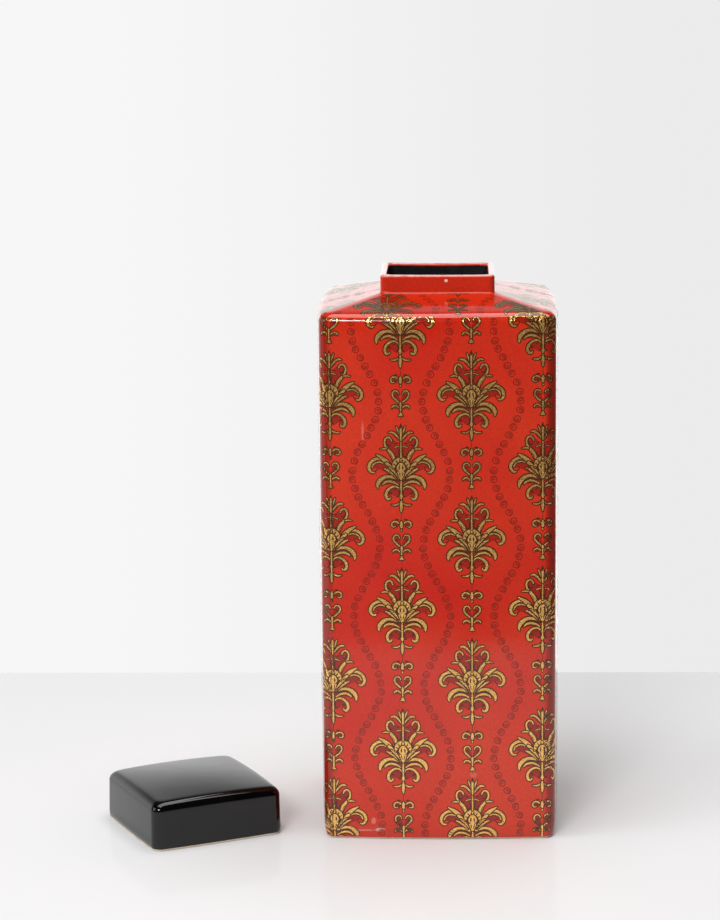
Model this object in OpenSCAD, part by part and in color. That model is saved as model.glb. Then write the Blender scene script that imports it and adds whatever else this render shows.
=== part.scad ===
// Square ginger jar with a lift-off lid, in glazed porcelain.
// Millimetres, +Z up. The origin is the centre of the jar's foot, on the surface it stands on.
// The lid lies on the same surface, to the left of the jar and mouth down.

/* [Jar body] */
// Width and depth of the square body, across the glaze
body_w = 130; // [110:1:150]
// Height at which the shoulder slope would meet the wall if the edge were sharp
wall_h = 297; // [200:1:380]
// Radius of the four upright corners
corner_r = 6.8; // [6:0.2:10]
// Radius of the edge between the walls and the shoulder
edge_r = 5.5; // [4:0.1:6]
// Slope of the four shoulder faces, in degrees
shoulder_slope = 13; // [8:1:16]
// Thickness of the walls and the shoulder, both glazes included
wall_t = 5; // [4:0.5:7]

/* [Foot] */
// Width of the bare ring that the jar stands on
foot_w = 7; // [5:0.5:10]
// Depth of the recess under the floor of the jar
foot_recess = 2.5; // [1:0.5:4]
// Thickness of the floor
floor_t = 6; // [4:0.5:9]
// Bare height between the surface and the red glaze
foot_bare = 1.2; // [0.5:0.1:3]

/* [Neck] */
// Width and depth of the square neck, across the glaze
neck_w = 63.6; // [50:0.2:66]
// Height of the neck's rim above the jar's foot line
neck_rise = 10; // [8:0.5:14]
// Thickness of the neck wall, both glazes included
neck_t = 3.6; // [3:0.2:5]
// Radius of the neck's upright corners
neck_r = 3.4; // [2:0.2:4]

/* [Lid] */
// Width and depth of the lid just under its rounded top edge
lid_top_w = 77.2; // [74:0.2:80]
// Height at which the lid's wall would meet its top if the edge were sharp
lid_h = 27; // [22:0.5:32]
// Lean of the lid's four walls, in degrees
lid_draft = 1; // [0.5:0.5:5]
// Radius of the lid's top edge
lid_edge_r = 5.5; // [3:0.5:7]
// Radius of the lid's upright corners just under the top edge
lid_corner_r = 5.5; // [4:0.1:7]
// Slope of the four faces of the lid's crowned top, in degrees
lid_slope = 5; // [2:0.5:8]
// Thickness of the lid's wall and top, both glazes included
lid_t = 5; // [4:0.25:5.5]
// Bare height between the rim's flat and the black glaze
lid_bare = 0.9; // [0.5:0.1:2]

/* [Glaze] */
// Thickness of each coat of glaze
glaze_t = 0.4; // [0.3:0.05:0.6]

/* [Lid place] */
// Centre of the lid, left of the jar's axis
lid_x = -140.7; // [-200:0.1:-125]
// Centre of the lid, in front of the jar's axis
lid_y = -38.1; // [-80:0.1:80]
// Turn of the lid about its own upright axis, in degrees
lid_turn = 26.7; // [0:0.1:90]

/* [Hidden] */
$fn = 64;

clay = "wheat";
red = "firebrick";
black = "#1c1a1c";

// The outside of the jar: where wall and shoulder meet, the neck and the rim
body_half = body_w / 2;
neck_half = neck_w / 2;
neck_foot = wall_h + (body_half - neck_half) * tan(shoulder_slope);
rim_z = neck_foot + neck_rise;
lip_bare = 0.35;
glaze_top = rim_z - lip_bare;
// The hollow: rounder corners inside than a plain offset would give
hollow_corner_r = 4;
hollow_edge_r = 3;
cavity_z = foot_recess + floor_t;
// How far a cutting solid runs past the face that it cuts
over = 5;

// Where the lid's wall and top meet, and the rounder corners of its hollow
lid_corner = [lid_top_w / 2, lid_h];
lid_hollow_corner_r = 5;
lid_hollow_edge_r = 3;

// Where the sharp corner between wall and top goes when both faces move inward by d
function inset_corner(corner, draft, slope, d) =
    corner + d / cos(draft + slope) * [sin(draft) - cos(slope), sin(slope) - cos(draft)];

// Half of an upright section: a leaning wall, a rounded edge and a sloping top
module half_section(corner, foot_z, draft, slope, r) {
    tangent = r * tan((90 - draft - slope) / 2);
    wall_end = corner + tangent * [sin(draft), -cos(draft)];
    top_start = corner + tangent * [-cos(slope), sin(slope)];
    foot_x = corner.x + (corner.y - foot_z) * tan(draft);
    peak_z = corner.y + corner.x * tan(slope);
    polygon([[0, foot_z], [foot_x, foot_z], wall_end, top_start, [0, peak_z]]);
    translate(wall_end - r * [cos(draft), sin(draft)])
        circle(r);
}

// The part of a half section beyond the corner axis, for turning about that axis
module corner_section(axis, foot_z, reach, height) {
    intersection() {
        translate([-axis, 0])
            children();
        translate([0, foot_z])
            square([reach, height]);
    }
}

// A square block whose four sides all have the section, with rounded upright corners.
// corner is [half width, height] of the sharp edge and axis the place of the corner centres.
module square_block(corner, axis, foot_z, draft, slope, r) {
    reach = corner.x + (corner.y - foot_z) * tan(draft) + over;
    height = corner.y + corner.x * tan(slope) + over - foot_z;
    intersection() {
        intersection_for(turn = [0, 90])
            rotate([90, 0, turn])
                linear_extrude(2 * reach, center = true)
                    for (side = [0, 1])
                        mirror([side, 0])
                            half_section(corner, foot_z, draft, slope, r);
        translate([0, 0, foot_z])
            linear_extrude(height)
                for (turn = [0, 90])
                    rotate(turn)
                        square([2 * reach, 2 * axis], center = true);
    }
    for (x = [-axis, axis], y = [-axis, axis])
        translate([x, y, 0])
            rotate_extrude()
                corner_section(axis, foot_z, reach - axis, height)
                    half_section(corner, foot_z, draft, slope, r);
}

module square_prism(half, r, z0, z1) {
    translate([0, 0, z0])
        linear_extrude(z1 - z0) {
            square([2 * half, 2 * (half - r)], center = true);
            square([2 * (half - r), 2 * half], center = true);
            for (x = [r - half, half - r], y = [r - half, half - r])
                translate([x, y])
                    circle(r);
        }
}

// Solid inside of the jar's outer surface, moved inward by d
module jar_outside(d, top_z) {
    corner = inset_corner([body_half, wall_h], 0, shoulder_slope, d);
    square_block(corner, body_half - corner_r, 0, 0, shoulder_slope, edge_r - d);
    square_prism(neck_half - d, neck_r - d, cavity_z, top_z);
}

// Solid that fills the jar's hollow; d is how far it lies outside the glazed inner surface
module jar_hollow(d, top_z) {
    corner = inset_corner([body_half, wall_h], 0, shoulder_slope, wall_t - d);
    axis = body_half - wall_t - hollow_corner_r;
    square_block(corner, axis, cavity_z - d, 0, shoulder_slope, hollow_edge_r);
    square_prism(neck_half - neck_t + d, neck_r, cavity_z + over, top_z);
}

module jar_body() {
    color(clay)
        difference() {
            jar_outside(glaze_t, rim_z);
            jar_hollow(glaze_t, rim_z + over);
            square_prism(body_half - foot_w, corner_r, -over, foot_recess);
        }
}

module jar_red_glaze() {
    color(red)
        difference() {
            jar_outside(0, glaze_top);
            jar_outside(glaze_t, glaze_top + over);
            square_prism(body_w, corner_r, -over, foot_bare);
        }
}

module jar_black_lining() {
    color(black)
        difference() {
            jar_hollow(glaze_t, glaze_top);
            jar_hollow(0, glaze_top + over);
        }
}

module place_lid() {
    translate([lid_x, lid_y, 0])
        rotate(lid_turn)
            children();
}

// Solid inside of the lid's outer surface, moved inward by d
module lid_outside(d) {
    corner = inset_corner(lid_corner, lid_draft, lid_slope, d);
    square_block(corner, lid_corner.x - lid_corner_r, 0, lid_draft, lid_slope, lid_edge_r - d);
}

// Solid that fills the lid's hollow; d is how far it lies outside the glazed inner surface
module lid_hollow(d) {
    corner = inset_corner(lid_corner, lid_draft, lid_slope, lid_t - d);
    axis = lid_corner.x - lid_t - lid_hollow_corner_r;
    square_block(corner, axis, -over, lid_draft, lid_slope, lid_hollow_edge_r + d);
}

module lid_body() {
    color(clay)
        place_lid()
            difference() {
                lid_outside(glaze_t);
                lid_hollow(glaze_t);
            }
}

module lid_black_glaze() {
    color(black)
        place_lid()
            difference() {
                lid_outside(0);
                lid_outside(glaze_t);
                square_prism(lid_top_w, lid_corner_r, -over, lid_bare);
            }
}

module lid_black_lining() {
    color(black)
        place_lid()
            difference() {
                lid_hollow(glaze_t);
                lid_hollow(0);
                square_prism(lid_top_w, lid_corner_r, -2 * over, lid_bare);
            }
}

jar_body();
jar_red_glaze();
jar_black_lining();
lid_body();
lid_black_glaze();
lid_black_lining();
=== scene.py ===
"""Square ginger jar in red glaze with a gold and dark damask print, its black lid lying beside it.

Lengths are in millimetres until mesh_piece() scales them to metres, apart from the stage,
the camera and the lights, which are in metres.
"""

import math

import bmesh
import bpy
import numpy as np
from mathutils import Matrix, Vector


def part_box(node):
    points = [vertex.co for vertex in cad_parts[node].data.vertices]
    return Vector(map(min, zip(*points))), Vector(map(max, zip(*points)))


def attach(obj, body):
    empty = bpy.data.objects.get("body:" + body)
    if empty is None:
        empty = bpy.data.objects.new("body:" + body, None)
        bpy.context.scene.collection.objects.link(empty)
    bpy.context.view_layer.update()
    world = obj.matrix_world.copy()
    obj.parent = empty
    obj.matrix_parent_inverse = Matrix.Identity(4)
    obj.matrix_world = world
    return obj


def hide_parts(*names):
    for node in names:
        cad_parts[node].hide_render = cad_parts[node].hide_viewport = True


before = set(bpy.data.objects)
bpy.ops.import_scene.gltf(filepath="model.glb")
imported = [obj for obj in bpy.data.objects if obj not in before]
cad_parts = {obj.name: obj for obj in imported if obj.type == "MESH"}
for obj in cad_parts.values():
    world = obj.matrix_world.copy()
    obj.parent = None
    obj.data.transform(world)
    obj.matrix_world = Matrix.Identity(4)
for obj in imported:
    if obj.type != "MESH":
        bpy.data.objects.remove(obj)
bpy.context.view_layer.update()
MM = 0.001

# ---------------- sizes from the frame
glaze_low, glaze_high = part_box("jar_red_glaze")
clay_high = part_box("jar_body")[1]
lining_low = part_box("jar_black_lining")[0]
lid_low, lid_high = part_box("lid_body")

BODY = glaze_high.x / MM              # half width of the jar
GLAZE = (glaze_high.x - clay_high.x) / MM
RIM_Z = clay_high.z / MM
GLAZE_FOOT = 0.55 * glaze_low.z / MM  # the glaze ran down a little as it was fired
FLOOR_Z = lining_low.z / MM + GLAZE
CORNER_R = 6.8                        # of the upright corners
EDGE_R = 5.5                          # of the edge between wall and shoulder
SLOPE = math.radians(13)              # of the shoulder
WALL_H = 297.0                        # where wall and shoulder slope would meet
SHOULDER_CORNER_R = 5.0
SHOULDER_EDGE_R = 6.0                 # the corner radius at the foot of the slope
SHOULDER_T = 5.0
NECK = 31.8                           # half width of the neck
NECK_R = 3.4
NECK_T = 3.6
NECK_HOLLOW_R = 4.4
FILLET_R = 1.2                        # between shoulder and neck
LIP_R = 1.5
LIP_DOWN = 1.9                        # the red glaze turns this far down into the neck
NECK_DEPTH = 14.0                     # the neck's straight hollow, below the rim
NECK_FLARE = 0.6                      # it widens this much where the jar's hollow starts
HOLLOW_EDGE_R = 3.0
HOLLOW_CORNER_R = 4.0
FOOT_R = 0.9
FOOT_W = 7.0                          # width of the bare foot ring
FOOT_RECESS = 2.5
FOOT_TAPER = 11.0                     # the walls draw in below this height
FOOT_DRAW = 1.5                       # by this much at the foot
SWELL = 2.9                           # the four walls bow outward, most at half height
SWELL_Z = 150.0
SWELL_GAP = 4.0                       # and on the shoulder it ends this far from the neck
SAG_DEPTH = 10.0                      # how far below the rim its dip fades out

TURN = math.pi / 2 - SLOPE            # angle that the edge between wall and shoulder turns
EDGE_RUN = EDGE_R * math.tan(TURN / 2)
WALL_TOP = WALL_H - EDGE_RUN
EDGE_LENGTH = EDGE_R * TURN
SLOPE_TOP = WALL_TOP + EDGE_LENGTH    # distance up the wall and round the edge, where the slope starts
SLOPE_HALF = BODY - EDGE_RUN * math.cos(SLOPE)
SLOPE_Z = WALL_H + EDGE_RUN * math.sin(SLOPE)
CENTRE = BODY - CORNER_R              # where the upright corners are centred

LID_X = (lid_low.x + lid_high.x) / 2 / MM
LID_Y = (lid_low.y + lid_high.y) / 2 / MM
LID_TURN = math.radians(26.7)
LID_TOP = 38.6                        # half width where the lid's wall would meet its top
LID_H = 27.0
LID_DRAFT = math.radians(1)           # the lid widens this much towards its rim
LID_EDGE_R = 4.7
LID_CORNER_R = 5.5
LID_SWELL = 0.5
LID_HOLLOW_CORNER_R = 5.0
LID_T = 5.0
LID_BARE = 0.9                        # height of the bare clay above its rim
LID_RISE = lid_high.z / MM - LID_H    # rise of the crowned top
LID_BOW = 0.9                         # how far the middle of each top edge rises

FLAT_FACETS = 32                      # facets across each side of the jar and the lid
CORNER_FACETS = 10                    # facets round each upright corner
EDGE_FACETS = 10                      # facets round the edge between wall and shoulder


# ---------------- meshes
def new_object(name, data):
    thing = bpy.data.objects.new(name, data)
    bpy.context.scene.collection.objects.link(thing)
    return thing


def mesh_piece(name, verts, faces, material, body, slot, smooth=True):
    """A piece of the jar or the lid, from points in millimetres."""
    mesh = bpy.data.meshes.new(name)
    mesh.from_pydata((np.asarray(verts) * MM).tolist(), [], faces)
    if smooth:
        mesh.polygons.foreach_set("use_smooth", [True] * len(mesh.polygons))
    mesh.materials.append(material)
    mesh.validate()
    piece = new_object(name, mesh)
    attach(piece, body)
    return piece


def square_outline():
    """A rounded square as three tables with a row a point: its arc's centre, its facing, its swell."""
    across = 2 * np.arange(FLAT_FACETS) / FLAT_FACETS - 1
    angle = math.pi / 2 * np.arange(CORNER_FACETS) / CORNER_FACETS
    flat, corner = np.ones(FLAT_FACETS), np.ones(CORNER_FACETS)
    centres = np.column_stack([np.append(across, corner), np.append(-flat, -corner)])
    outward = np.column_stack([np.append(0 * flat, np.sin(angle)), np.append(-flat, -np.cos(angle))])
    swells = np.append(1 - across ** 2, 0 * corner)
    turns = [np.array([(cos, sin), (-sin, cos)]) for cos, sin in ((1, 0), (0, 1), (-1, 0), (0, -1))]
    centres, outward = [np.vstack([table @ turn for turn in turns]) for table in (centres, outward)]
    return centres, outward, np.tile(swells, 4)


def bands_between(spans, count):
    """Faces between pairs of rings with count points each, given by the rings' numbers."""
    faces = []
    for low, high in spans:
        for i in range(count):
            j = (i + 1) % count
            faces.append((low * count + i, low * count + j, high * count + j, high * count + i))
    return faces


OUTLINE = square_outline()


def square_lathe(profile, height=None, closed=True, swell=None):
    """Sweeps a rounded square along a profile of (half width, corner radius, z) rows.

    height(x, y, z) may bend each ring, and swell(half width, z) bows its four sides outward.
    A row of half width 0 closes the form in a point.
    """
    centres, outward, swells = OUTLINE
    count = len(centres)
    rings = []
    for half, radius, z in profile:
        radius = min(radius, half)
        xy = (half - radius) * centres + radius * outward
        if swell:
            xy = xy + (swell(half, z) * swells)[:, None] * outward
        zs = np.full(count, float(z))
        if height:
            zs = height(xy[:, 0], xy[:, 1], zs)
        rings.append(np.column_stack([xy, zs]))
    spans = [(i, i + 1) for i in range(len(profile) - 1)]
    if closed:
        spans.append((len(profile) - 1, 0))
    return np.concatenate(rings), bands_between(spans, count)


def as_bmesh(verts, faces):
    form = bmesh.new()
    points = [form.verts.new(v) for v in verts]
    for face in faces:
        form.faces.new([points[i] for i in face])
    return form


def from_bmesh(form):
    form.verts.index_update()
    verts = np.array([v.co[:] for v in form.verts]).reshape(-1, 3)
    faces = [tuple(v.index for v in f.verts) for f in form.faces]
    form.free()
    return verts, faces


def merged(verts, faces, gap=0.002):
    """Joins the points that a ring of no width piles up, and turns all faces outward."""
    form = as_bmesh(verts, faces)
    bmesh.ops.remove_doubles(form, verts=form.verts, dist=gap)
    bmesh.ops.dissolve_degenerate(form, dist=gap / 2, edges=form.edges)
    bmesh.ops.recalc_face_normals(form, faces=form.faces)
    return from_bmesh(form)


def joined(parts):
    """Several (points, faces) meshes as one."""
    verts, faces, shift = [], [], 0
    for v, f in parts:
        verts.append(v)
        faces += [tuple(i + shift for i in face) for face in f]
        shift += len(v)
    if not verts:
        return np.zeros((0, 3)), []
    return np.concatenate(verts), faces


def spread(start, end, steps):
    """Evenly spaced values from start to end, without start itself."""
    return [start + (end - start) * i / steps for i in range(1, steps + 1)]


def arc(cx, cz, r, start, end, steps):
    """Points of an arc in the upright section, angles in radians from the outward direction."""
    return [(cx + r * math.cos(a), cz + r * math.sin(a)) for a in [start] + spread(start, end, steps)]


def turned(angle, x, y):
    cos, sin = np.cos(angle), np.sin(angle)
    return x * cos - y * sin, x * sin + y * cos


# ---------------- the jar's form
def jar_swell(half, z):
    """How far the middle of a wall or shoulder face stands out beyond its corners."""
    height = 1 - 0.22 * ((z - SWELL_Z) / SWELL_Z) ** 2
    inner = NECK + SWELL_GAP
    return SWELL * height * np.clip((half - inner) / (BODY - inner), 0, 1)


def clay_swell(half, z):
    """The clay swells on its outside and under the shoulder; its hollow is flat below that."""
    return jar_swell(half, z) if half > BODY - 3 or z > WALL_TOP + 3 else 0


def foot_taper(z):
    """How far the walls draw in near the foot."""
    return FOOT_DRAW * np.clip(1 - z / FOOT_TAPER, 0, 1) ** 2


def rim_sag(x, y, z):
    """The rim dried a little uneven: it dips along the middle of the front and back."""
    share = np.clip((z - RIM_Z) / SAG_DEPTH + 1, 0, 1)
    dip = 0.62 * (1 - (x / NECK) ** 2) * (0.7 + 0.3 * y / NECK) + 0.10 * np.sin(y / 9 + 1) + 0.006 * x
    return z - share * np.clip(dip, -0.2, 0.75)


def outside_profile(inset, foot_z):
    """The jar's outside from its foot up to its lip, moved inward by inset."""
    half, corner_r = BODY - inset, CORNER_R - inset
    wall_z = foot_z + FOOT_R
    section = arc(half - FOOT_R, wall_z, FOOT_R, -math.pi / 2, 0, 3)
    section += [(half, z) for z in spread(wall_z, FOOT_TAPER, 9)[:-1] + spread(FOOT_TAPER, WALL_TOP, 40)]
    rows = [(h - foot_taper(z), corner_r - foot_taper(z), z) for h, z in section]

    edge = arc(BODY - EDGE_R, WALL_TOP, EDGE_R - inset, 0, TURN, EDGE_FACETS)[1:]
    for (h, z), share in zip(edge, spread(0, 1, EDGE_FACETS)):
        rows.append((h, corner_r + (SHOULDER_EDGE_R - corner_r) * share, z))

    edge_half, _, edge_z = rows[-1]
    fillet = FILLET_R + inset
    base_half = NECK - inset + 0.9 * fillet
    for share in spread(0, 1, 8):
        h = edge_half + (base_half - edge_half) * share
        rows.append((h, SHOULDER_EDGE_R + (SHOULDER_CORNER_R - SHOULDER_EDGE_R) * share,
                     edge_z + (edge_half - h) * math.tan(SLOPE)))

    base_z = rows[-1][2]
    for angle, turn in zip(spread(SLOPE, math.pi / 2, 4), spread(0, math.pi / 2, 4)):
        share = (math.sin(angle) - math.sin(SLOPE)) / (1 - math.sin(SLOPE))
        rows.append((base_half - (base_half - NECK + inset) * share,
                     SHOULDER_CORNER_R - (SHOULDER_CORNER_R - NECK_R + inset) * share,
                     base_z + fillet * (1 - math.cos(turn))))
    rows += [(NECK - inset, NECK_R - inset, z) for z in spread(rows[-1][2], RIM_Z - LIP_R, 6)]
    return rows


def lip_rows(inset):
    """Over the lip, from the outside of the neck to LIP_DOWN below the rim on its inside."""
    radius, centre_z = LIP_R - inset, RIM_Z - LIP_R
    outer = arc(NECK - LIP_R, centre_z, radius, 0, math.pi / 2, 6)[1:]
    inner = arc(NECK - NECK_T + LIP_R, centre_z, radius, math.pi / 2, math.pi, 5)
    inner += [(NECK - NECK_T + inset, RIM_Z - LIP_DOWN + rise) for rise in (0.1, 0)]
    return [(h, NECK_R - NECK + h, z) for h, z in outer] + [(h, NECK_HOLLOW_R, z) for h, z in inner]


def hollow_profile(outset, floor_z):
    """The hollow from the inner edge of the lip down to the middle of the floor."""
    neck_in = NECK - NECK_T + outset
    top = RIM_Z - LIP_DOWN + 0.3
    heights = [top, top - 0.1] + spread(top - 0.2, RIM_Z - NECK_DEPTH, 6)
    rows = [(neck_in, NECK_HOLLOW_R, z) for z in heights]
    shift = SHOULDER_T - outset
    edge_z = WALL_H + shift * (math.tan(SLOPE) - 1 / math.cos(SLOPE))
    half = BODY - shift
    under = edge_z + (half - neck_in) * math.tan(SLOPE)
    r = HOLLOW_EDGE_R
    flare = neck_in + NECK_FLARE
    section = [(flare, under)]
    section += [(h, under - (h - neck_in) * math.tan(SLOPE)) for h in spread(flare, half - r, 4)]
    section += arc(half - r, edge_z - r, r, TURN, 0, 5)
    section += [(half, z) for z in spread(edge_z - r, floor_z + r, 10)]
    section += arc(half - r, floor_z + r, r, 0, -math.pi / 2, 3)[1:]
    section += [(h, floor_z) for h in spread(half - r, 0, 6)]
    return rows + [(h, HOLLOW_CORNER_R, z) for h, z in section]


def jar_pieces(red, black, clay):
    """The jar as three closed forms: clay body, red glaze over it and black glaze inside."""
    outer = outside_profile(0, GLAZE_FOOT) + lip_rows(0)
    inner = outside_profile(GLAZE, GLAZE_FOOT + 0.1) + lip_rows(GLAZE)
    verts, faces = square_lathe(outer + inner[::-1], rim_sag, swell=jar_swell)
    red_piece = mesh_piece("red_glaze", *merged(verts, faces), red, "jar", "red_glaze")
    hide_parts("jar_red_glaze")

    surface = hollow_profile(0, FLOOR_Z)
    behind = hollow_profile(GLAZE, FLOOR_Z - GLAZE)
    verts, faces = square_lathe(surface + behind[::-1], rim_sag)
    black_piece = mesh_piece("black_lining", *merged(verts, faces), black, "jar", "black_glaze")
    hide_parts("jar_black_lining")

    core = outside_profile(GLAZE, 0) + lip_rows(GLAZE) + behind
    ring = BODY - FOOT_W
    section = [(h, FOOT_RECESS) for h in [0] + spread(0, ring - 0.8, 4)]
    section += [(ring, FOOT_RECESS - 0.8), (ring + 0.4, 0.15), (ring + 0.9, 0)]
    under = [(h, CORNER_R, z) for h, z in section]
    verts, faces = square_lathe(core + under, rim_sag, swell=clay_swell)
    clay_piece = mesh_piece("clay_body", *merged(verts, faces), clay, "jar", "biscuit")
    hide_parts("jar_body")


# ---------------- the lid's form
def lid_profile(inset, foot_z):
    """The lid's outside from its rim to the middle of its top, moved inward by inset."""
    base = LID_TOP + (LID_H - foot_z) * math.tan(LID_DRAFT) - inset / math.cos(LID_DRAFT)
    run = LID_EDGE_R * math.tan((math.pi / 2 - LID_DRAFT) / 2)
    wall_half = LID_TOP + run * math.sin(LID_DRAFT)
    wall_z = LID_H - run * math.cos(LID_DRAFT)
    cx = wall_half - LID_EDGE_R * math.cos(LID_DRAFT)
    cz = wall_z - LID_EDGE_R * math.sin(LID_DRAFT)
    r = LID_EDGE_R - inset
    top_half = cx + r * math.cos(LID_DRAFT)
    low = foot_z + 0.5
    rows = [(base - 0.7, LID_CORNER_R - 0.3, foot_z), (base - 0.15, LID_CORNER_R, low)]
    for share in spread(0, 1, 8):
        rows.append((base + (top_half - base) * share, LID_CORNER_R, low + (wall_z - low) * share))
    for half, z in arc(cx, cz, r, LID_DRAFT, math.pi / 2, 8)[1:]:
        rows.append((half, LID_CORNER_R - 0.35 * (top_half - half), z))
    edge, _, top_z = rows[-1]
    return rows + [(h, min(9, 3.6 + 0.4 * (edge - h)), top_z) for h in spread(edge, 0, 14)]


def lid_crown(x, y, z):
    """Lifts the lid's top into a soft pillow whose edges bow upward too; the wall's foot stays as it is."""
    reach, low = LID_TOP - 1, 17
    x_arch, y_arch = [np.clip(1 - (c / reach) ** 2, 0, 1) for c in (x, y)]
    share = np.clip((z - low) / (LID_H - low), 0, 1) ** 1.5
    return z + share * ((LID_RISE - 2 * LID_BOW) * x_arch * y_arch + LID_BOW * (x_arch + y_arch))


def lid_swell(half, z):
    """The lid's four walls bow outward, as much at the foot as at the top."""
    return LID_SWELL if half > LID_TOP - 8 else 0


def placed_lid(verts):
    x, y = turned(LID_TURN, verts[:, 0], verts[:, 1])
    return np.column_stack([LID_X + x, LID_Y + y, verts[:, 2]])


def lid_hollow(outset, low_z):
    """The lid's hollow from the middle of its ceiling down to the rim."""
    shift = LID_T - outset
    ceiling = LID_H - shift
    half = LID_TOP - shift
    r = HOLLOW_EDGE_R
    section = [(h, ceiling) for h in [0] + spread(0, half - r, 5)]
    section += arc(half - r, ceiling - r, r, math.pi / 2, 0, 4)[1:]
    for z in spread(ceiling - r, low_z, 6):
        section.append((half + (LID_H - z) * math.tan(LID_DRAFT) * 0.95, z))
    return [(h, LID_HOLLOW_CORNER_R, z) for h, z in section]


def lid_pieces(black, clay):
    """The lid as three closed forms: black glaze outside and inside, and clay between."""
    outer = lid_profile(0, LID_BARE)
    inner = lid_profile(GLAZE, LID_BARE + 0.1)
    verts, faces = merged(*square_lathe(outer + inner[::-1], lid_crown, swell=lid_swell))
    coat = mesh_piece("lid_glaze", placed_lid(verts), faces, black, "lid", "black_glaze")
    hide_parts("lid_black_glaze")

    surface = lid_hollow(0, LID_BARE)
    behind = lid_hollow(GLAZE, LID_BARE)
    verts, faces = merged(*square_lathe(surface + behind[::-1]))
    lining = mesh_piece("lid_lining", placed_lid(verts), faces, black, "lid", "black_glaze")
    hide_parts("lid_black_lining")

    crowned = square_lathe(lid_profile(GLAZE, 0), lid_crown, closed=False, swell=lid_swell)
    hollow = square_lathe(lid_hollow(GLAZE, 0.5), closed=False)
    verts, faces = joined([crowned, hollow])
    count = len(OUTLINE[0])
    rim = bands_between([(0, len(verts) // count - 1)], count)
    verts, faces = merged(verts, faces + rim)
    body = mesh_piece("lid_clay", placed_lid(verts), faces, clay, "lid", "biscuit")
    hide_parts("lid_body")


# ---------------- the print's drawing
# Painted from the first stroke to the last, each over the ones before it. A stroke is
# (kind, rows of (x, y, width)) in millimetres, y = 0 at the palmette's lowest tip.
#   gold: gold with a dark line round it    fine: gold with a thin dark line    dark: dark only
# The strokes of BOTH_SIDES_* are painted mirrored as well.
BOTH_SIDES_LOW = [
    ("gold", [(.7, 10, .35), (.75, 12.2, .4), (1.4, 13.9, .7), (3.3, 14.8, 1.0), (5.6, 14.2, 1.3),
              (7.7, 12.3, 1.5), (8.4, 9.8, 1.6), (7.5, 7.8, 1.5), (6.2, 7.9, 1), (5.6, 8.9, .5)]),
    ("dark", [(5.2, 10.6, .5), (5.9, 11.5, 1.1), (6.5, 10.8, .7)]),
    ("dark", [(2.4, 13.1, .4), (3.3, 13, .8), (4.1, 12.5, .3)]),
    ("dark", [(1.4, 9.9, .5), (1.9, 9.1, 1.1), (2.7, 8.7, .4)]),
    ("gold", [(1.4, 15.4, .4), (3.8, 17, 1.1), (6.8, 17.6, 1.3), (9.2, 16.8, 1.1), (10.4, 15.4, .4)]),
    ("gold", [(1.2, 18.0, .6), (3.8, 19.7, 1.3), (7, 20.2, 1.9), (10.2, 19.3, 2.3), (12.4, 17, 2.3),
              (13, 14.8, 1.4), (12.7, 13.5, .5)]),
    ("dark", [(2.4, 17.6, .3), (5, 19.1, .45), (7.6, 19.3, .5), (9.8, 18.3, .3)]),
    ("gold", [(1.6, 18.6, .5), (4, 21.4, 1.2), (6.6, 23.4, 1.4), (9.4, 24.8, .4)]),
    ("gold", [(7.6, 27, 1.6), (9.8, 29.3, 1.5), (12.4, 30.3, 1.5), (14.8, 29.6, 1.6), (16.8, 27.9, 1.7),
              (17.7, 25.3, 1.7), (16.9, 23.2, 1.4), (15.5, 22.4, 1), (14.3, 22.9, .4)]),
    ("gold", [(9.4, 27.6, .6), (11.4, 28.3, .8), (13.6, 28, .8), (15.3, 26.8, .8), (15.9, 25, .6)]),
    ("dark", [(14.4, 23.2, .5), (13.4, 23.7, .9), (12.8, 24.8, .6), (13.8, 25.8, .4)]),
    ("gold", [(5, 25.4, .8), (6.8, 27.6, 1.9), (8.8, 29.3, 2.4), (11, 31, 1.8), (13.6, 32.5, .4)]),
    ("gold", [(.9, 18.6, .6), (2.6, 21.2, 1), (4.6, 24, 1.4), (6.8, 26.6, 1.9), (8.4, 28, 1.2)]),
    ("dark", [(5.2, 25.1, .4), (6.4, 25.9, .9), (7.8, 26.2, .4)]),
    ("dark", [(4.2, 22.6, .4), (5.4, 23.3, .9), (6.6, 23.6, .4)]),
    ("gold", [(3.7, 28, 1.2), (4.2, 30.6, 1.9), (5.2, 33, 2), (6.8, 35, 1.5), (8.3, 36.9, 1.1), (9, 39.2, 1),
              (8.5, 41.3, 1), (6.9, 42.2, 1), (5.5, 41.2, .9), (5, 39.7, .4)]),
    ("gold", [(7.6, 35.6, .6), (9.6, 35.8, .9), (11.5, 35.5, .3)]),
    ("dark", [(5.4, 38.3, .5), (6.3, 37.4, .9), (7.4, 38, .8), (7.7, 39.4, .4)]),
    ("dark", [(4.6, 29.2, .3), (4.9, 31.2, .5), (5.9, 33, .4)]),
    ("dark", [(1.9, 36.1, .5), (1.2, 34.2, .8), (1.3, 32.2, .8), (2.4, 31.3, .8), (3.3, 32.4, .7),
              (2.8, 33.7, .4)]),
    ("fine", [(.4, 37.3, .4), (2, 37, .5), (3.8, 36.4, .4)]),
    ("dark", [(1, 38.7, .4), (2.4, 39, .9), (3.6, 38.2, .4)]),
]
MIDDLE_LOW = [
    ("gold", [(-4.1, 24.6, .8), (-3.7, 27.2, 2.2), (-2.2, 29.1, 2.6), (0, 29.8, 2.6),
              (2.2, 29.1, 2.6), (3.7, 27.2, 2.2), (4.1, 24.6, .8)]),
    ("gold", [(0, 17.8, .7), (0, 19.6, 2), (0, 22, 4), (0, 24.4, 5.4), (0, 26.4, 4.4), (0, 27.9, 1.8)]),
    ("gold", [(0, 30.6, .8), (0, 33, .7), (0, 35.4, .9), (0, 38.4, .8), (0, 40.2, 1.2)]),
]
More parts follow.
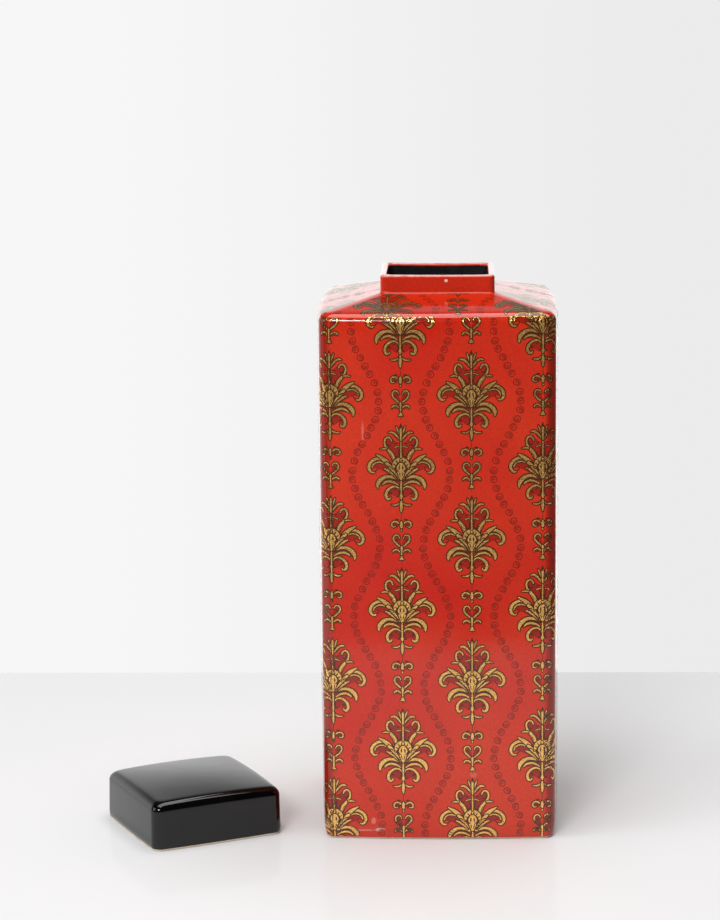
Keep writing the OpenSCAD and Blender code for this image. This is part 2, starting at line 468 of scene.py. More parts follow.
BOTH_SIDES_HIGH = [
    ("dark", [(.8, 24.2, .4), (1, 25.2, 1.1), (.7, 26.4, .4)]),
    ("dark", [(1.5, 22.8, .4), (2, 23.4, .9), (2.6, 24.6, .4)]),
    ("dark", [(.4, 20, .3), (.8, 21.4, .7), (.95, 22.6, .4)]),
    ("dark", [(.5, 27.9, .5), (.75, 28.9, .9), (.8, 30, .3)]),
    ("dark", [(1.7, 27.6, .5), (2.3, 28.4, .9), (2.7, 29.3, .3)]),
    ("dark", [(2.9, 26.3, .5), (3.6, 26.9, .8), (4.2, 27.3, .3)]),
    ("dark", [(3.2, 24.4, .5), (3.9, 25.1, .8), (4.5, 25.4, .3)]),
    ("dark", [(1.7, 19.6, .4), (2.9, 21, .65), (4.1, 22.3, .4)]),
    ("gold", [(.3, 40.3, .6), (1.6, 42.2, .8), (3.4, 44.2, 1.1), (5.2, 45, 1.2), (6.8, 44.6, .3)]),
    ("gold", [(.4, 42, .4), (1.1, 44.4, .7), (1.8, 46.4, .8), (2.5, 48.2, .3)]),
    ("gold", [(.5, 6.2, .5), (1.7, 4.9, .8), (3.4, 4.3, .9), (5.4, 4.5, .3)]),
    ("dark", [(4.6, 5, .3), (5.6, 5, .8), (6.2, 4.7, .3)]),
    ("dark", [(1.2, -3.9, .4), (2.5, -3.6, 1), (3.6, -3.9, .4)]),
    ("gold", [(.3, -6.9, .7), (1.4, -5.9, .8), (2.7, -5, .9), (4.3, -5, .9), (5.3, -6.1, .9),
              (5.2, -7.4, .9), (4.1, -8.1, .6), (3.2, -7.5, .3)]),
    ("dark", [(2.2, -8.6, .4), (2.6, -7.2, .8), (3.4, -6.5, .4)]),
    ("gold", [(.1, -19.8, .6), (1.8, -18.2, .9), (3.6, -16.6, .9), (4.5, -14.9, .9), (4.2, -13.3, .9),
              (2.9, -12.5, .8), (1.6, -13, .7), (1.0, -14.4, .4)]),
    ("dark", [(2, -14.8, .4), (2.6, -15.6, .7), (3, -14.6, .4)]),
    ("gold", [(.4, -22.8, .5), (1.5, -21.3, .8), (3.1, -20.6, .9), (4.6, -21.4, .9), (4.7, -22.3, .3)]),
    ("dark", [(1.8, -22.8, .3), (3, -22.2, .7), (3.7, -22.4, .3)]),
]
MIDDLE_HIGH = [
    ("gold", [(0, 40, .8), (0, 43, 1), (0, 45.6, 1.4), (0, 47.3, 1.1), (0, 48.2, .5)]),
    ("dark", [(0, 46.8, .4), (0, 47.8, .8), (0, 49.1, 1.2), (0, 49.9, .3)]),
    ("gold", [(0, 18, .5), (0, 15.2, 1.1), (0, 12.5, .8), (0, 10.4, .8), (0, 9.1, 2), (0, 8.1, .8),
              (0, 6.9, .7)]),
    ("gold", [(0, 7, .7), (0, 4.6, 1.6), (0, 3, 1.6), (0, 1.4, 1.1), (0, .3, .4)]),
    ("dark", [(0, -.3, .3), (0, -2, .4), (0, -3.8, .5)]),
    ("gold", [(0, -4.6, .5), (0, -6, 1.6), (0, -7.8, 1.6), (0, -8.6, .6)]),
    ("dark", [(0, -8.8, 1), (0, -9.8, 2.4), (0, -10.8, 1)]),
    ("fine", [(0, -9.2, .5), (0, -9.9, .9), (0, -10.5, .4)]),
    ("gold", [(0, -18.6, .5), (0, -19.8, 1.4), (0, -21.2, .8), (0, -23, .8), (0, -24.8, .9)]),
    ("gold", [(0, -24.4, .8), (0, -25.6, 1.8), (0, -26.4, 3.2)]),
    ("dark", [(0, -27, .35), (0, -28.4, .3)]),
]
# Dark red ground between the scrolls, painted under all the strokes; mirrored as well
SHADES = [
    [(2.0, 9.6, 2.6), (3.8, 11.8, 4.6), (6.4, 12, 4.0), (7, 9.6, 2.4)],
    [(1.4, 16.4, 2.2), (5, 18.0, 4.4), (9, 17.6, 4.4), (11.6, 15.8, 2.0)],
    [(1.8, 20.6, 2.6), (5, 23.2, 5.0), (9, 26, 5.6), (13, 27, 5.0), (15.6, 25.6, 2.6)],
    [(1.4, 30.6, 2.6), (2.8, 34, 5.2), (4.6, 37.4, 6.0), (6.2, 40, 4.6), (6.6, 41.4, 2.2)],
    [(.9, 40.6, 1.8), (2.2, 43.2, 3.4), (3.8, 44.4, 1.8)],
    [(1.4, -6.6, 1.6), (3, -6.6, 3.2), (4.6, -6.8, 1.6)],
    [(.8, -18.2, 1.6), (2.4, -16, 3.6), (2.8, -13.8, 2.2)],
]
PALMETTE_TIP = 49.8                   # top of the motif
PENDANT_DROP = 28.5                   # how far the motif reaches below y = 0
MOTIF_HALF = 19.0                     # half its width
PERIOD = 80.4                         # from one palmette to the next up a column
LINE = {"gold": 0.58, "fine": 0.38, "dark": 0.0}    # width of the dark line round a stroke
DARK_SHARE = 0.78                     # the dark strokes bled in a little as they were fired
GOLD_SHARE = 0.90                     # share of a stroke's width that is gold
GROUND = 0.006                        # height of the first stroke above the glaze
SHADE_GROUND = 0.0035                 # the same for the dark red ground
STEP = 0.0004                         # each stroke lies this much over the one before
ROOT = -0.12                          # the bands reach this far into the glaze
WIDE = 1.3                            # wider bands have three runs across, so that they follow a corner


def smooth_path(points, steps):
    """Points on a Catmull-Rom curve through (x, y, width) rows."""
    rows = np.array(points, float)
    if len(rows) == 2:
        return np.array([rows[0] + (rows[1] - rows[0]) * t for t in (0, 0.5, 1)])
    ends = np.vstack([2 * rows[0] - rows[1], rows, 2 * rows[-1] - rows[-2]])
    out = []
    for i in range(1, len(ends) - 2):
        a, b, c, d = ends[i - 1:i + 3]
        for k in range(steps):
            t = k / steps
            out.append(0.5 * (2 * b + (c - a) * t + (2 * a - 5 * b + 4 * c - d) * t * t
                              + (3 * b - a - 3 * c + d) * t ** 3))
    out.append(rows[-1])
    return np.array(out)


def ribbon(path, section, grow=0.0):
    """A closed band along a path. section has (share of width, height) rows; grow widens the band."""
    xy = path[:, :2]
    width = path[:, 2] + 2 * grow
    along = np.gradient(xy, axis=0)
    along /= np.maximum(np.linalg.norm(along, axis=1), 1e-9)[:, None]
    if grow:
        xy = xy.copy()
        xy[0] -= along[0] * grow
        xy[-1] += along[-1] * grow
        width = width.copy()
        width[[0, -1]] *= 0.75
    across = np.column_stack([-along[:, 1], along[:, 0]])
    verts = []
    for share, height in section:
        spot = xy + across * (share * width)[:, None]
        verts.append(np.column_stack([spot, np.full(len(spot), height)]))
    verts = np.stack(verts, 1).reshape(-1, 3)
    count, size = len(xy), len(section)
    faces = bands_between([(i, i + 1) for i in range(count - 1)], size)
    faces.append(tuple(range(size))[::-1])
    faces.append(tuple((count - 1) * size + k for k in range(size)))
    return verts, faces


def band_section(width, top):
    """Section of a flat-topped band as (share of width, height) rows."""
    rows = [(-.5, top), (0, ROOT), (.5, top)]
    return rows if width < WIDE else rows + [(.17, top), (-.17, top)]


def mirrored(points):
    return [(-x, y, w) for x, y, w in points]


def motif():
    """The palmette with its pendant as three meshes: gold bands, dark bands and dark red ground."""
    strokes = []
    for sides, middle in ((BOTH_SIDES_LOW, MIDDLE_LOW), (BOTH_SIDES_HIGH, MIDDLE_HIGH)):
        for kind, points in sides:
            strokes += [(kind, points), (kind, mirrored(points))]
        strokes += middle
    layers = {"gold": [], "dark": [], "shade": []}
    for level, (kind, points) in enumerate(strokes):
        top = GROUND + level * STEP
        path = smooth_path(points, 2 if len(points) > 4 else 3)
        if kind == "dark":
            path = path * (1, 1, DARK_SHARE)
        width = path[:, 2].max()
        layers["dark"].append(ribbon(path, band_section(width + 2 * LINE[kind], top), LINE[kind]))
        if kind != "dark":
            layers["gold"].append(ribbon(path * (1, 1, GOLD_SHARE), band_section(width, top + STEP / 2)))
    for level, points in enumerate(SHADES + [mirrored(points) for points in SHADES]):
        path = smooth_path(points, 3)
        top = SHADE_GROUND + level * STEP / 4
        layers["shade"].append(ribbon(path, band_section(path[:, 2].max(), top)))
    return {layer: joined(parts) for layer, parts in layers.items()}


RING_STEP = 5.2                       # between two rings of a vine
RING_R = 2.1
RING_GAP = 0.4                        # from a vine's end to the edge of the print
VINE_SWAY = 7.5                       # how far a vine leans to either column


def vine_ring(turn):
    """One ring of a vine: a line that winds inward, and the dot in its middle."""
    points = []
    for share in [0] + spread(0, 1, 16):
        angle = turn + share * math.radians(560)
        radius = RING_R * (1 - 0.6 * share ** 1.7)
        points.append((radius * math.cos(angle), radius * math.sin(angle), 0.5 if share else 0.25))
    line = ribbon(np.array(points), band_section(0, GROUND))
    dot = ribbon(np.array([(-.5, 0, .3), (0, 0, .9), (.5, 0, .3)]), band_section(0, GROUND + STEP))
    return joined([line, dot])


# ---------------- laying the print on the glaze
def clipped(verts, faces, cuts):
    """Cuts a flat-laid print along straight lines; each cut is (point, outward normal) in the plane."""
    form = as_bmesh(verts, faces)
    for (px, py), (nx, ny) in cuts:
        geometry = form.verts[:] + form.edges[:] + form.faces[:]
        cut = bmesh.ops.bisect_plane(form, geom=geometry, plane_co=(px, py, 0), plane_no=(nx, ny, 0),
                                     clear_outer=True)
        edges = [e for e in cut["geom_cut"] if isinstance(e, bmesh.types.BMEdge)]
        bmesh.ops.holes_fill(form, edges=edges, sides=12)
    return from_bmesh(form)


def scored(verts, faces, lines):
    """Cuts the faces along lines in the plane, (point, normal), so that they fold with the glaze's facets."""
    if not lines:
        return verts, faces
    form = as_bmesh(verts, faces)
    for (px, py), (nx, ny) in lines:
        geometry = form.verts[:] + form.edges[:] + form.faces[:]
        bmesh.ops.bisect_plane(form, geom=geometry, plane_co=(px, py, 0), plane_no=(nx, ny, 0))
    return from_bmesh(form)


SIDE = 2 * CENTRE + CORNER_R * math.pi / 2    # way round the glaze from mid-corner to mid-corner
GIRTH = 4 * SIDE


def on_wall(verts):
    """Wraps a flat print round the jar: x runs round it from the middle of the front, y up its wall."""
    run = verts[:, 0] + SIDE / 2
    side = np.floor(run / SIDE)
    local = run - side * SIDE - SIDE / 2
    angle = np.clip(np.abs(local) - CENTRE, 0, None) / CORNER_R
    rise = np.clip(verts[:, 1] - WALL_TOP, 0, None) / EDGE_R
    z = np.minimum(verts[:, 1], WALL_TOP) + EDGE_R * np.sin(rise)
    inward = EDGE_R * (1 - np.cos(rise))
    radius = CORNER_R - rise / TURN * (CORNER_R - SHOULDER_EDGE_R)
    centre = BODY - inward - radius
    share = np.clip(local / CENTRE, -1, 1)
    out = radius + verts[:, 2] * np.cos(rise) - foot_taper(z)
    x = share * centre + out * np.sign(local) * np.sin(angle)
    y = -centre - out * np.cos(angle) - jar_swell(BODY - inward, z) * (1 - share ** 2)
    return np.column_stack([*turned(side * math.pi / 2, x, y), z + verts[:, 2] * np.sin(rise)])


def on_shoulder(side, verts):
    """Lays a flat print on one shoulder face: x across it, y up the slope from its lower edge."""
    x, y, lift = verts.T
    below = np.clip(-y, 0, None) / EDGE_R
    up = np.clip(y, 0, None)
    steep = TURN - below
    on_edge = below > 0
    half = np.where(on_edge, BODY - EDGE_R + EDGE_R * np.cos(steep), SLOPE_HALF - up * math.cos(SLOPE))
    z = np.where(on_edge, WALL_TOP + EDGE_R * np.sin(steep), SLOPE_Z + up * math.sin(SLOPE))
    # nearer the hip the rounded corner lies lower than the flat face
    radius = (SHOULDER_CORNER_R + SHOULDER_EDGE_R) / 2
    past = np.clip(np.abs(x) - (half - radius), 0, radius)
    drop = radius - np.sqrt(radius ** 2 - past ** 2 * 0.98)
    z = z - drop * math.tan(SLOPE) * 0.9
    swell = jar_swell(half, z) * (1 - np.clip(x / (half - radius), -1, 1) ** 2)
    out = half + swell + lift * np.where(on_edge, np.cos(steep), math.sin(SLOPE))
    lifted = z + lift * np.where(on_edge, np.sin(steep), math.cos(SLOPE))
    return np.column_stack([*turned(side * math.pi / 2, x, -out), lifted])


FRONT_COLUMNS = (-59.0, -20.15, 18.5, 57.5)   # the print was laid from the front, a little off centre
LAST_GAPS = 11                                # gaps from the last of them round to the first
TOP_PALMETTE = 277.7                          # tip of the highest whole palmette in the first column
PRINT_FOOT = 1.5                              # the print ends at this height
PRINT_TOP = WALL_TOP + 3.6                    # and this far up, where the shoulder's print starts
VINE_PHASE = TOP_PALMETTE - PALMETTE_TIP / 2 - 3.5
SHOULDER_FIRST = -27.4                        # a palmette column of the shoulder print
SHOULDER_TAIL = -15.9                         # y = 0 of that palmette, up the slope
SHOULDER_VINE_PHASE = SHOULDER_TAIL + 20
COLUMN_GAP = 38.8


def columns():
    """Where the palmette columns stand, round the jar from the front's first."""
    gap = (GIRTH - (FRONT_COLUMNS[-1] - FRONT_COLUMNS[0])) / LAST_GAPS
    return list(FRONT_COLUMNS) + [FRONT_COLUMNS[-1] + gap * i for i in range(1, LAST_GAPS)]


def shifted(verts, dx, dy):
    return verts + np.array([dx, dy, 0])


def fold_lines(x, low, high):
    """Where the glaze's facets fold under a print centred at x that reaches from low to high."""
    corner = SIDE / 2 + round((x - SIDE / 2) / SIDE) * SIDE
    lines = []
    if abs(x - corner) < MOTIF_HALF + CORNER_R:
        for i in range(CORNER_FACETS + 1):
            lines.append(((corner + CORNER_R * math.pi / 2 * (i / CORNER_FACETS - 0.5), 0), (1, 0)))
    if high > WALL_TOP:
        heights = [WALL_TOP + EDGE_LENGTH * i / EDGE_FACETS for i in range(EDGE_FACETS)]
        lines += [((0, height), (0, 1)) for height in heights if low < height < high]
    return lines


def wall_print(motif_layers):
    """The layers of the wall print, by side of the jar."""
    sides = {side: {layer: [] for layer in motif_layers} for side in range(4)}
    for index, x in enumerate(columns()):
        side = int((x + SIDE / 2) // SIDE) % 4
        tip = TOP_PALMETTE + PERIOD - (index % 2) * PERIOD / 2
        while tip > -PERIOD / 2:
            tail = tip - PALMETTE_TIP
            low, high = tail - PENDANT_DROP, tip
            if low < PRINT_TOP and high > PRINT_FOOT:
                cuts = [((0, PRINT_TOP), (0, 1))] if high > PRINT_TOP else []
                cuts += [((0, PRINT_FOOT), (0, -1))] if low < PRINT_FOOT else []
                folds = fold_lines(x, low, min(high, PRINT_TOP))
                for layer, (verts, faces) in motif_layers.items():
                    part = shifted(verts, x, tail), faces
                    part = clipped(*part, cuts) if cuts else part
                    sides[side][layer].append(scored(*part, folds))
            tip -= PERIOD
    return sides


def vines(lattice, phase, low, high, keep=None):
    """Ring vines between neighbouring columns; phase is where they lean to the right-hand column."""
    rings = [vine_ring(math.radians(a)) for a in (40, 160, 280)]
    parts = []
    for number, (left, right) in enumerate(zip(lattice[:-1], lattice[1:])):
        lean = (-1) ** number
        y, count = low + RING_R + RING_GAP, 0
        while y < high - RING_R - RING_GAP:
            swing = 2 * math.pi * (y - phase) / PERIOD
            x = (left + right) / 2 + lean * VINE_SWAY * math.cos(swing)
            if keep is None or keep(x, y):
                verts, faces = rings[count % len(rings)]
                parts.append((shifted(verts, x, y), faces))
            steep = VINE_SWAY * 2 * math.pi / PERIOD * math.sin(swing)
            y += RING_STEP / math.hypot(1, steep)
            count += 1
    return joined(parts)


def inside_shoulder(x, y):
    """Whether a vine's ring fits on a shoulder face."""
    return abs(x) < SLOPE_HALF - y * math.cos(SLOPE) - RING_R - 1


def shoulder_print(side, motif_layers):
    """One shoulder face's sheet of the print, cut to the face."""
    length = (SLOPE_HALF - NECK - FILLET_R) / math.cos(SLOPE)
    lean = math.cos(SLOPE)
    cuts = [((0, PRINT_TOP - SLOPE_TOP + 0.1), (0, -1)), ((0, length + 0.4), (0, 1)),
            ((SLOPE_HALF - 0.3, 0), (1, lean)), ((0.3 - SLOPE_HALF, 0), (-1, lean))]
    lattice = [(k, SHOULDER_FIRST + k * COLUMN_GAP) for k in range(-2, 4)]
    layers = {}
    for layer, (verts, faces) in motif_layers.items():
        parts = []
        for k, x in lattice:
            low_tail = SHOULDER_TAIL - (k % 2) * PERIOD / 2
            for tail in (low_tail, low_tail + PERIOD):
                if abs(x) < SLOPE_HALF + MOTIF_HALF and -PALMETTE_TIP - 5 < tail < length + 1:
                    parts.append(clipped(shifted(verts, x, tail), faces, cuts))
        layers[layer] = joined(parts)
    layers["vine"] = vines([x for k, x in lattice], SHOULDER_VINE_PHASE, -2, length, inside_shoulder)
    return {layer: (on_shoulder(side, verts), faces) for layer, (verts, faces) in layers.items()}


def print_pieces(inks, shaded_shoulder_gold):
    """The whole print as pieces, with inks by layer; the shoulder's gold is a darker copy of it, painted
    shade.
    """
    motif_layers = motif()
    slots = {layer: "gold_print" if layer == "gold" else "dark_print" for layer in inks}
    names = ("front", "right", "back", "left")
    for side, layers in wall_print(motif_layers).items():
        for layer in ("gold", "dark", "shade"):
            verts, faces = joined(layers[layer])
            mesh_piece(f"{layer}_print_{names[side]}", on_wall(verts), faces, inks[layer], "jar",
                       slots[layer], smooth=False)
    verts, faces = vines(columns() + [FRONT_COLUMNS[0] + GIRTH], VINE_PHASE, PRINT_FOOT, PRINT_TOP)
    folds = [line for corner in range(4) for line in fold_lines(SIDE * (corner + 0.5), 0, 0)]
    verts, faces = scored(verts, faces, folds)
    mesh_piece("vine_print", on_wall(verts), faces, inks["vine"], "jar", slots["vine"], smooth=False)
    sheets = [shoulder_print(side, motif_layers) for side in range(4)]
    for layer, ink in {**inks, "gold": shaded_shoulder_gold}.items():
        verts, faces = joined([sheet[layer] for sheet in sheets])
        mesh_piece(f"shoulder_{layer}_print", verts, faces, ink, "jar", slots[layer], smooth=False)


# ---------------- materials
def new_material(name, roughness, colour, **sockets):
    material = bpy.data.materials.new(name)
    material.use_nodes = True
    shader = material.node_tree.nodes["Principled BSDF"]
    shader.inputs["Base Color"].default_value = (*colour, 1)
    shader.inputs["Roughness"].default_value = roughness
    for socket, value in sockets.items():
        shader.inputs[socket.replace("_", " ")].default_value = value
    return material, material.node_tree, shader


def feed(tree, node, inputs):
    """Sets each input of a node to a value, or links it to another node's output."""
    for socket, value in inputs.items():
        if isinstance(value, bpy.types.NodeSocket):
            tree.links.new(value, node.inputs[socket])
        else:
            node.inputs[socket].default_value = value
    return node


def new_node(tree, kind, inputs=None):
    return feed(tree, tree.nodes.new("ShaderNode" + kind), inputs or {})


def place_on_object(tree):
    return new_node(tree, "TexCoord").outputs["Object"]


def noise(tree, scale, detail=3.0, roughness=0.55):
    """Noise fixed to the object, with its scale in features a metre."""
    texture = new_node(tree, "TexNoise", {"Vector": place_on_object(tree), "Scale": scale,
                                          "Detail": detail, "Roughness": roughness})
    return texture.outputs["Fac"]


def vector_math(tree, operation, *values, output="Vector"):
    node = tree.nodes.new("ShaderNodeVectorMath")
    node.operation = operation
    return feed(tree, node, dict(enumerate(values))).outputs[output]


def product(tree, result, *factors):
    """The product of numbers and other nodes' outputs."""
    for factor in factors:
        node = tree.nodes.new("ShaderNodeMath")
        node.operation = "MULTIPLY"
        result = feed(tree, node, {0: result, 1: factor}).outputs["Value"]
    return result


def mapped(tree, source, low, high, at_low=0.0, at_high=1.0, smooth=True):
    """Goes from at_low to at_high while the source goes from low to high."""
    node = new_node(tree, "MapRange", {"Value": source, "From Min": low, "From Max": high,
                                       "To Min": at_low, "To Max": at_high})
    node.interpolation_type = "SMOOTHSTEP" if smooth else "LINEAR"
    return node.outputs["Result"]


def ramp(tree, source, *stops):
    """A colour ramp with (position, colour or grey) stops."""
    node = new_node(tree, "ValToRGB", {"Fac": source})
    band = node.color_ramp
    while len(band.elements) < len(stops):
        band.elements.new(0.5)
    for element, (position, colour) in zip(band.elements, stops):
        element.position = position
        element.color = (colour, colour, colour, 1) if isinstance(colour, (int, float)) else (*colour, 1)
    return node.outputs["Color"]


def bump(tree, shader, source, strength, distance, under=None):
    """Roughens a shader's surface, over another bump if there is one under it."""
    node = new_node(tree, "Bump", {"Strength": strength, "Distance": distance, "Height": source})
    if under:
        feed(tree, node, {"Normal": under})
    feed(tree, shader, {"Normal": node.outputs["Normal"]})
    return node.outputs["Normal"]


def height_mask(tree, low, high):
    """0 below a height and 1 above it, in millimetres up the object."""
    split = new_node(tree, "SeparateXYZ", {"Vector": place_on_object(tree)})
    return mapped(tree, split.outputs["Z"], low * MM, high * MM, smooth=False)


def mix_colour(tree, factor, first, second, blend="MIX"):
    """Blends two colours, each of them fixed or another node's output."""
    node = tree.nodes.new("ShaderNodeMix")
    node.data_type = "RGBA"
    node.blend_type = blend
    colours = [(*value, 1) if isinstance(value, tuple) else value for value in (first, second)]
    return feed(tree, node, {0: factor, 6: colours[0], 7: colours[1]}).outputs[2]


def corner_shade_mask(tree):
    """0 on the flats of the jar's walls and 1 on its upright corners, where painted shade darkens the red."""
    size = vector_math(tree, "ABSOLUTE", place_on_object(tree))
    total = vector_math(tree, "DOT_PRODUCT", size, (1, 1, 0), output="Value")
    return mapped(tree, total, (2 * BODY - CORNER_R) * MM, (2 * BODY - 0.6 * CORNER_R) * MM)


def spot_mask(tree, place, radius):
    """1 within a small ragged spot on the glaze and 0 outside it, place and radius in millimetres."""
    reach = [r * MM for r in radius]
    here = place_on_object(tree)
    speckle = new_node(tree, "TexNoise", {"Vector": here, "Scale": 500}).outputs["Color"]
    shift = vector_math(tree, "SUBTRACT", speckle, (0.5, 0.5, 0.5))
    ragged = vector_math(tree, "MULTIPLY_ADD", shift, reach, here)
    away = vector_math(tree, "SUBTRACT", ragged, [c * MM for c in place])
    share = vector_math(tree, "LENGTH", vector_math(tree, "DIVIDE", away, reach), output="Value")
    return mapped(tree, share, 1.3, 0.8, smooth=False)


# The clear skin on top of the red and of the dark ink
CLEAR_SKIN = {"IOR": 1.5, "Coat_Weight": 0.4, "Coat_IOR": 1.2, "Coat_Roughness": 0.06}
# Chips and scuffs on the red glaze: place, size along x, y and z in millimetres, and strength
WEAR = [((4.8, -NECK, RIM_Z - 3.3), (0.8, 1.5, 0.8), 1.0), ((-37, -BODY - 2, 11), (1.2, 4, 1.8), 0.22),
        ((-33.5, -BODY - 2, 5.8), (2.6, 4, 1.0), 0.50), ((19, -BODY - 2, 38), (1.8, 4, 1.6), 0.10),
        ((-44, -BODY - 2, 5.4), (7.0, 4, 0.5), 0.25), ((-41, -BODY - 2, 233), (0.7, 4, 5.0), 0.12)]


def red_glaze():
    """Deep orange-red glaze: cloudy at hand size, painted shade on the corners, worn pink on the lip,
    chipped.
    """
    material, tree, shader = new_material("red_glaze", 0.1, (0.60, 0.024, 0.007), **CLEAR_SKIN)
    clouds = ramp(tree, noise(tree, 9), (0.3, (0.55, 0.014, 0.005)), (0.7, (0.64, 0.040, 0.009)))
    grain = ramp(tree, noise(tree, 900, 2), (0.35, 0.86), (0.65, 1.0))
    colour = mix_colour(tree, 1.0, clouds, grain, "MULTIPLY")
    # painted shade: the red turns darker on the upright corners, which face away from the light
    colour = mix_colour(tree, corner_shade_mask(tree), colour, (0.27, 0.012, 0.004))
    scuff = ramp(tree, noise(tree, 260), (0.30, 0.25), (0.55, 1.0))
    worn = product(tree, height_mask(tree, RIM_Z - 1.3, RIM_Z - 0.3), scuff)
    colour = mix_colour(tree, worn, colour, (0.66, 0.36, 0.33))
    for place, radius, strength in WEAR:
        mark = product(tree, spot_mask(tree, place, radius), strength)
        colour = mix_colour(tree, mark, colour, (0.80, 0.62, 0.52))
    gloss = ramp(tree, noise(tree, 40), (0.3, 0.07), (0.75, 0.14))
    feed(tree, shader, {"Base Color": colour, "Roughness": gloss})
    waves = bump(tree, shader, noise(tree, 22, 2), 0.10, 0.002)
    bump(tree, shader, noise(tree, 700, 2), 0.02, 0.0005, waves)
    return material


def black_glaze(name, paleness_and_painted_light, ior):
    """Glossy black glaze, a little cloudy, with faint waves and fine pits; the lining's higher value is
    painted light.
    """
    material, tree, shader = new_material(name, 0.05, (0.006, 0.0055, 0.006), IOR=ior)
    dark, pale = [tuple(c * paleness_and_painted_light for c in colour)
                  for colour in ((0.005, 0.0047, 0.0053), (0.011, 0.010, 0.0105))]
    colour = ramp(tree, noise(tree, 90), (0.4, dark), (0.8, pale))
    gloss = ramp(tree, noise(tree, 60, 4), (0.35, 0.035), (0.75, 0.10))
    feed(tree, shader, {"Base Color": colour, "Roughness": gloss})
    waves = bump(tree, shader, noise(tree, 30, 2), 0.08, 0.002)
    bump(tree, shader, noise(tree, 800, 2), 0.015, 0.0004, waves)
    return material


def gold_print(name, colour):
    """Fired gold, a little worn: its gloss and its metal vary, its colour is one."""
    material, tree, shader = new_material(name, 0.3, colour, Metallic=0.7)
    metal = ramp(tree, noise(tree, 1100, 2), (0.35, 0.95), (0.65, 0.70))
    gloss = ramp(tree, noise(tree, 900, 3), (0.3, 0.15), (0.7, 0.26))
    feed(tree, shader, {"Metallic": metal, "Roughness": gloss})
    bump(tree, shader, noise(tree, 1500, 3), 0.28, 0.0006)
    return material


def printed_line(name, colour):
    """Dark transfer ink under a skin of glaze."""
    material, tree, shader = new_material(name, 0.1, colour, **CLEAR_SKIN)
    feed(tree, shader, {"Roughness": ramp(tree, noise(tree, 600, 2), (0.3, 0.07), (0.7, 0.16))})
    bump(tree, shader, noise(tree, 1500, 2), 0.05, 0.0002)
    return material


def bare_clay():
    """Cream unglazed porcelain, browned where it touched the kiln shelf, with fine grit."""
    material, tree, shader = new_material("bare_clay", 0.7, (0.72, 0.62, 0.48))
    stain = ramp(tree, noise(tree, 120, 5), (0.35, (0.76, 0.67, 0.54)), (0.6, (0.66, 0.54, 0.38)),
                 (0.85, (0.36, 0.24, 0.14)))
    gloss = ramp(tree, noise(tree, 300), (0.3, 0.55), (0.7, 0.85))
    feed(tree, shader, {"Base Color": stain, "Roughness": gloss})
    bump(tree, shader, noise(tree, 1400, 4), 0.5, 0.0004)
    return material


# ---------------- stage, light and camera
def stage_sheet(name, x0, x1, y0, y1, z, colour, roughness, ior=1.5):
    mesh = bpy.data.meshes.new(name)
    mesh.from_pydata([(x0, y0, z), (x1, y0, z), (x1, y1, z), (x0, y1, z)], [], [(0, 1, 2, 3)])
    material, _, _ = new_material(name, roughness, colour, IOR=ior)
    mesh.materials.append(material)
    sheet = new_object(name, mesh)
    return sheet


def area_light(name, place, target, size, power):
    light = bpy.data.lights.new(name, "AREA")
    light.shape = "RECTANGLE"
    light.size, light.size_y = size
    light.energy = power
    lamp = new_object(name, light)
    lamp.location = place
    lamp.rotation_euler = (Vector(target) - Vector(place)).to_track_quat("-Z", "Y").to_euler()


def soft_sun(name, place, power):
    """Even daylight from a large window that lies towards place; no reflection shows it."""
    light = bpy.data.lights.new(name, "SUN")
    light.angle = math.radians(55)
    light.energy = power
    lamp = new_object(name, light)
    lamp.rotation_euler = Vector(place).to_track_quat("Z", "Y").to_euler()
    lamp.visible_glossy = False


def studio_world():
    """A lit paper sweep low behind the table; the room above, in front and to the right is dim.

    The camera sees the paper everywhere, with painted shade that darkens it a little to the right.
    """
    world = bpy.data.worlds.new("studio")
    bpy.context.scene.world = world
    world.use_nodes = True
    tree = world.node_tree
    tree.nodes.clear()
    place = new_node(tree, "TexCoord").outputs["Generated"]
    axes = new_node(tree, "SeparateXYZ", {"Vector": place}).outputs
    paper = product(tree, mapped(tree, axes["Y"], 0.10, 0.55, 0.04, 1.0),
                    mapped(tree, axes["X"], 0.30, 0.70, 1.0, 0.12),
                    mapped(tree, axes["Z"], 0.16, 0.68, 1.22, 0.06))
    # painted shade: the paper the camera sees darkens a little to the right, away from the key light
    shaded_backdrop = mapped(tree, axes["X"], -0.14, 0.08, 0.925, 0.835)
    room, seen = [new_node(tree, "Background", {"Color": colour}).outputs[0] for colour in (paper, shaded_backdrop)]
    camera_ray = new_node(tree, "LightPath").outputs["Is Camera Ray"]
    mix = new_node(tree, "MixShader", {"Fac": camera_ray, 1: room, 2: seen})
    new_node(tree, "OutputWorld", {"Surface": mix.outputs["Shader"]})


TABLE_SIDE = 3.0                      # how far the table reaches to either side
TABLE_BACK = 0.30
TABLE_FRONT = -2.2
LIT_FRONT = -0.50                     # the lit part of the table ends here and
LIT_RIGHT = 0.50                      # here, as the glaze reflects it
CARD_FRONT = -3.0
CARD_Z = 0.0015                       # the hidden cards lie just above the table


def hidden_card(name, x0, x1, y0, y1):
    """A dark card that only reflections meet, and only from above: the unlit end of the table."""
    card = stage_sheet(name, x0, x1, y0, y1, CARD_Z, (0.12, 0.12, 0.12), 0.6)
    tree = card.data.materials[0].node_tree
    side = new_node(tree, "NewGeometry").outputs["Backfacing"]
    clear = new_node(tree, "BsdfTransparent").outputs["BSDF"]
    dark = tree.nodes["Principled BSDF"].outputs["BSDF"]
    mix = new_node(tree, "MixShader", {"Fac": side, 1: dark, 2: clear})
    feed(tree, tree.nodes["Material Output"], {"Surface": mix.outputs["Shader"]})
    card.visible_camera = False
    card.visible_diffuse = False
    card.visible_shadow = False
    card.visible_transmission = False


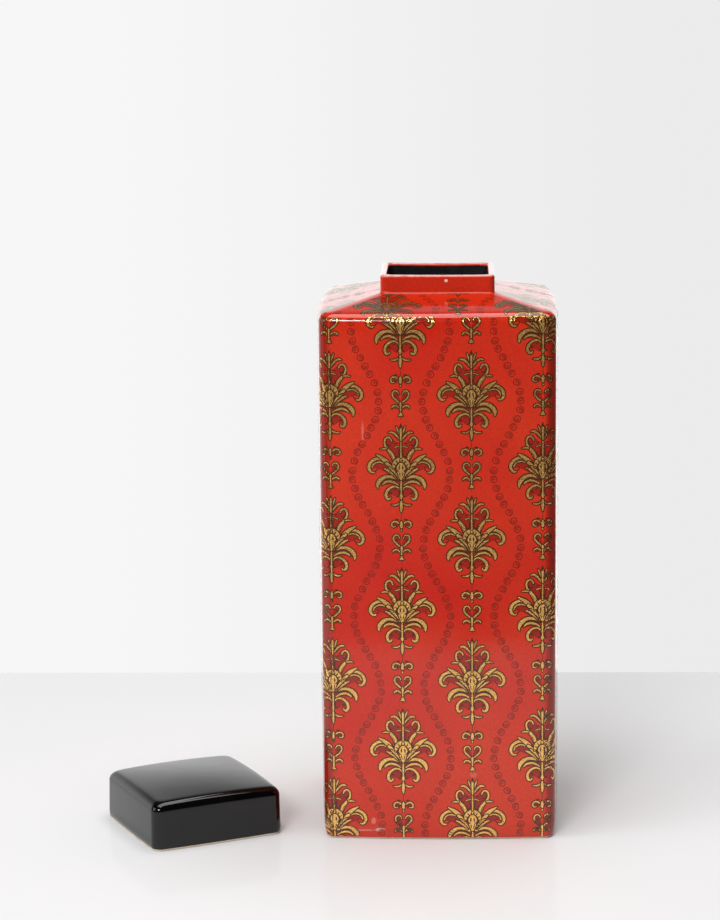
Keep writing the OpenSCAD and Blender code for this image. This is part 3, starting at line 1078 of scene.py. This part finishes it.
def studio():
    stage_sheet("table", -TABLE_SIDE, TABLE_SIDE, TABLE_FRONT, TABLE_BACK, 0, (0.78, 0.78, 0.785), 0.08, 1.08)
    hidden_card("unlit_front", -TABLE_SIDE, TABLE_SIDE, CARD_FRONT, LIT_FRONT)
    hidden_card("unlit_right", LIT_RIGHT, TABLE_SIDE, LIT_FRONT, TABLE_BACK)
    soft_sun("daylight", (-1.2, -1.3, 1.25), 0.90)
    area_light("key", (-0.58, -2.2, 1.30), (0, 0, 0.12), (0.72, 0.40), 26)
    area_light("top", (0.1, -0.1, 2.4), (0, 0, 0.1), (2.2, 1.6), 44)
    area_light("left", (-2.0, -0.6, 0.9), (0, 0, 0.12), (1.0, 1.2), 8)
    studio_world()
    bpy.context.scene.view_settings.view_transform = "Standard"


CAMERA_PLACE = (0.0118, -1.6096, 0.5050)      # fitted to the edges and corners of the jar and the lid
CAMERA_YAW = math.radians(2.02)
CAMERA_PITCH = math.radians(10.56)
CAMERA_ROLL = math.radians(-0.58)
CAMERA_LENS = 112.1


def camera():
    data = bpy.data.cameras.new("camera")
    data.sensor_fit = "VERTICAL"
    data.sensor_height = 36
    data.lens = CAMERA_LENS
    view = new_object("camera", data)
    turn = (Matrix.Rotation(CAMERA_YAW, 4, "Z") @ Matrix.Rotation(math.pi / 2 - CAMERA_PITCH, 4, "X")
            @ Matrix.Rotation(CAMERA_ROLL, 4, "Z"))
    view.matrix_world = Matrix.Translation(CAMERA_PLACE) @ turn
    bpy.context.scene.camera = view


camera()
studio()
clay = bare_clay()
# painted light: the lining's copy of the black glaze is paler, standing in for light reflected inside the
# hollow
jar_pieces(red_glaze(), black_glaze("black_lining", 2.2, 1.5), clay)
lid_pieces(black_glaze("lid_glaze", 0.35, 1.48), clay)
# painted shade: the shoulder's gold is a darker copy of the wall's gold, for the faces that look up into the
# dim room
print_pieces({"gold": gold_print("gold_print", (1.0, 0.58, 0.17)),
              "dark": printed_line("dark_print", (0.066, 0.014, 0.002)),
              "vine": printed_line("vine_print", (0.17, 0.012, 0.004)),
              "shade": printed_line("shade_print", (0.30, 0.012, 0.004))},
             shaded_shoulder_gold=gold_print("gold_print_shoulder_shaded", (0.36, 0.24, 0.07)))
